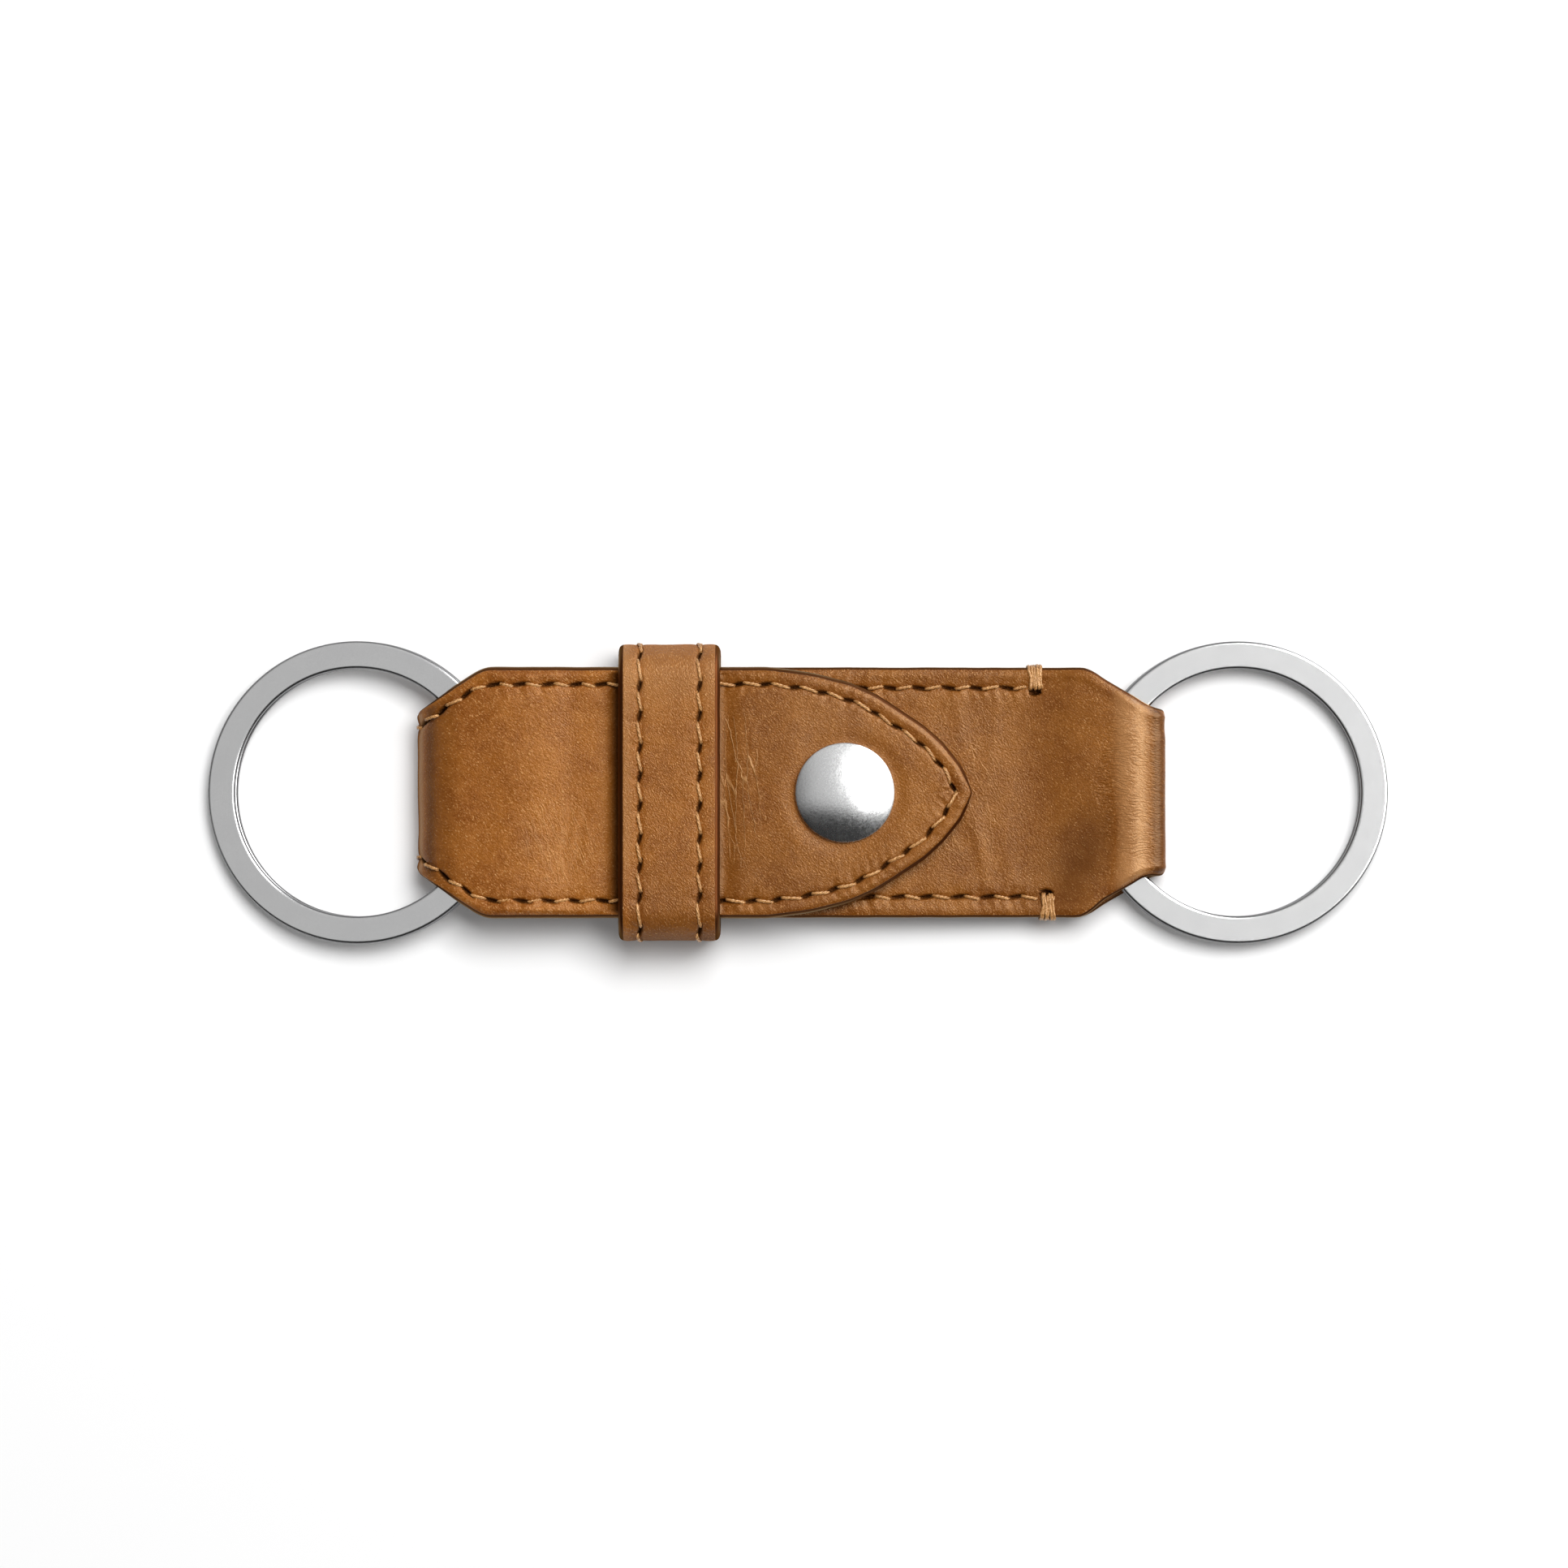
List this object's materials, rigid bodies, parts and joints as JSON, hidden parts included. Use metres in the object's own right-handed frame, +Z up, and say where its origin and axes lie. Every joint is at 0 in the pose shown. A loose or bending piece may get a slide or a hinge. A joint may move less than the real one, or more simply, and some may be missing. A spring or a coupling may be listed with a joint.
{
  "type": "valet key fob",
  "caption": "Flat two-ended leather key fob: strap folded round a split ring at each end, pointed snap tongue under a sliding keeper.",
  "frame": {"origin": "bottom centre of the bounding box: the middle of the fob on the surface that it lies on", "axes": "+Z up out of the front face with the snap; +X along the strap, from the ring held by the tongue's loop towards the ring at the snap end; +Y across the strap"},
  "size_m": [0.125, 0.032, 0.0116],
  "materials": {
    "leather": "tan-brown bridle leather, glossy, dark painted edges",
    "lining": "tan-brown lining leather, dark painted edges",
    "thread": "twisted waxed thread, tan gold",
    "ring_steel": "bead-blasted satin steel",
    "polished_cap": "polished nickel plate",
    "snap_metal": "nickel-plated brass, slightly dull"
  },
  "bodies": {
    "strap": {"front_outer": "leather", "front_lining": "lining", "front_panel": "leather", "back_outer": "leather", "back_lining": "lining", "front_thread_lower": "thread", "front_thread_upper": "thread", "panel_thread_lower": "thread", "panel_thread_upper": "thread", "back_thread_lower": "thread", "back_thread_upper": "thread", "bar_tack_lower": "thread", "bar_tack_upper": "thread", "snap_stud": "snap_metal", "snap_stud_post": "snap_metal"},
    "left_loop": {"left_loop_outer": "leather", "left_loop_lining": "lining", "left_loop_thread_lower": "thread", "left_loop_thread_upper": "thread"},
    "right_loop": {"right_loop_leather": "leather"},
    "ring_left": {"ring_left": "ring_steel"},
    "ring_right": {"ring_right": "ring_steel"},
    "tongue": {"tongue_outer": "leather", "tongue_lining": "lining", "tongue_thread": "thread", "snap_cap": "polished_cap", "snap_cap_post": "snap_metal", "snap_socket": "snap_metal", "snap_spring": "snap_metal"},
    "keeper": {"keeper_outer": "leather", "keeper_lining": "lining", "keeper_thread_left": "thread", "keeper_thread_right": "thread"}
  },
  "joints": [
    {"name": "tongue_lift", "type": "hinge", "parent": "strap", "child": "tongue", "pos_m": [-0.00556, 0, 0.00905], "axis": [0, -1, 0], "range_deg": [0, 120], "deforming": ["snap_spring"]},
    {"name": "keeper_slide", "type": "slide", "parent": "strap", "child": "keeper", "axis": [-1, 0, 0], "range_m": [-0.0072, 0.0045]},
    {"name": "left_loop_flex", "type": "hinge", "parent": "strap", "child": "left_loop", "pos_m": [-0.02764, 0, 0.00531], "axis": [0, 1, 0], "range_deg": [-30, 30], "stiffness_Nm_per_rad": 0.3},
    {"name": "right_loop_flex", "type": "hinge", "parent": "strap", "child": "right_loop", "pos_m": [0.02974, 0, 0.00293], "axis": [0, -1, 0], "range_deg": [-30, 30], "stiffness_Nm_per_rad": 0.3},
    {"name": "ring_left_turn", "type": "hinge", "parent": "left_loop", "child": "ring_left", "pos_m": [-0.04654, 0, 0.00314], "axis": [-0.1173, 0, 0.9931], "continuous": true},
    {"name": "ring_right_turn", "type": "hinge", "parent": "right_loop", "child": "ring_right", "pos_m": [0.04654, 0, 0.00215], "axis": [0.0548, 0, 0.9985], "continuous": true}
  ]
}
